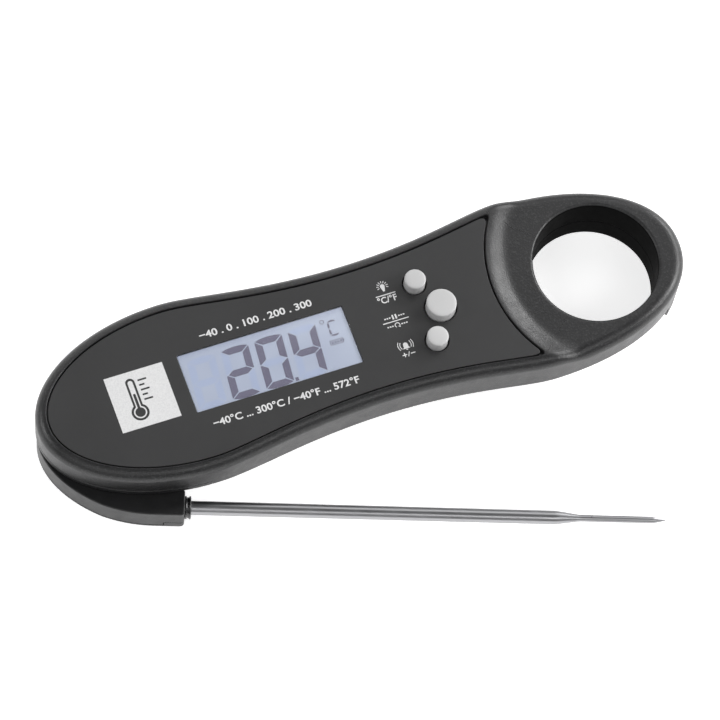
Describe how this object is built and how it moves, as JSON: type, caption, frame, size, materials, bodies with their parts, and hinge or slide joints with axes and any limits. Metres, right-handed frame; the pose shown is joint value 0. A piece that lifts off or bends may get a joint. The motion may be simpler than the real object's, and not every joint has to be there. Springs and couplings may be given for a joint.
{
  "type": "folding meat thermometer",
  "caption": "Folding digital meat thermometer with a lit display, round buttons, a hanging ring and a steel probe on a turning hub.",
  "frame": {"origin": "on the flat back, on the centre line, halfway along the body", "axes": "+Z out of the display, +X towards the hanging ring; the probe folds along the -Y side"},
  "size_m": [0.1732, 0.0918, 0.0213],
  "materials": {
    "shell": "fine spark texture",
    "face": "smooth satin print",
    "window": "clear, lit from behind",
    "display": "smooth",
    "light_guide": "frosted",
    "white_plastic": "moulded",
    "rubber": "moulded",
    "board": "solder mask",
    "black_plastic": "moulded",
    "spring_steel": "plated",
    "key": "satin",
    "steel": "polished tube",
    "brass": "turned",
    "lead": "insulated wire",
    "collar": "glossy"
  },
  "bodies": {
    "body": {"front_shell": "shell", "rear_shell": "shell", "face_plate": "face", "display_window": "window", "lcd_panel": "display", "back_light": "light_guide", "display_holder": "white_plastic", "battery_holder": "white_plastic", "contact_strip": "rubber", "circuit_board": "board", "controller_chip": "black_plastic", "buzzer": "black_plastic", "reed_switch": "display", "coin_battery": "spring_steel", "positive_contact": "spring_steel", "negative_contact": "spring_steel", "light_switch": "black_plastic", "hold_switch": "black_plastic", "alarm_switch": "black_plastic", "case_screw_1": "steel", "case_screw_2": "steel", "case_screw_3": "steel", "case_screw_4": "steel", "board_screw_1": "steel", "board_screw_2": "steel", "pivot_bush": "brass", "pivot_washer": "spring_steel", "pivot_clip": "spring_steel", "board_lead": "lead"},
    "hub": {"hub_body": "shell", "hub_cover": "shell", "hub_seal": "rubber", "hub_screw_1": "steel", "hub_screw_2": "steel", "detent_ball": "steel", "detent_spring": "spring_steel", "wake_magnet": "spring_steel", "probe_collar": "collar", "probe_tube": "steel", "temperature_sensor": "black_plastic", "probe_lead": "lead"},
    "light_key": {"light_button": "key"},
    "hold_key": {"hold_button": "key"},
    "alarm_key": {"alarm_button": "key"},
    "cover": {"battery_cover": "shell", "cover_seal": "rubber"}
  },
  "joints": [
    {"name": "probe_turn", "type": "hinge", "parent": "body", "child": "hub", "pos_m": [-0.0754, 0, 0.004], "axis": [0, 0, -1], "range_deg": [-20.1, 159.9]},
    {"name": "light_press", "type": "slide", "parent": "body", "child": "light_key", "axis": [0, 0, -1], "range_m": [0, 0.0009], "stiffness_N_per_m": 700, "springref_m": -0.0003},
    {"name": "hold_press", "type": "slide", "parent": "body", "child": "hold_key", "axis": [0, 0, -1], "range_m": [0, 0.0009], "stiffness_N_per_m": 800, "springref_m": -0.0003},
    {"name": "alarm_press", "type": "slide", "parent": "body", "child": "alarm_key", "axis": [0, 0, -1], "range_m": [0, 0.0009], "stiffness_N_per_m": 700, "springref_m": -0.0003},
    {"name": "cover_turn", "type": "hinge", "parent": "body", "child": "cover", "pos_m": [-0.016, 0.003, 0], "axis": [0, 0, -1], "range_deg": [0, 60]}
  ]
}
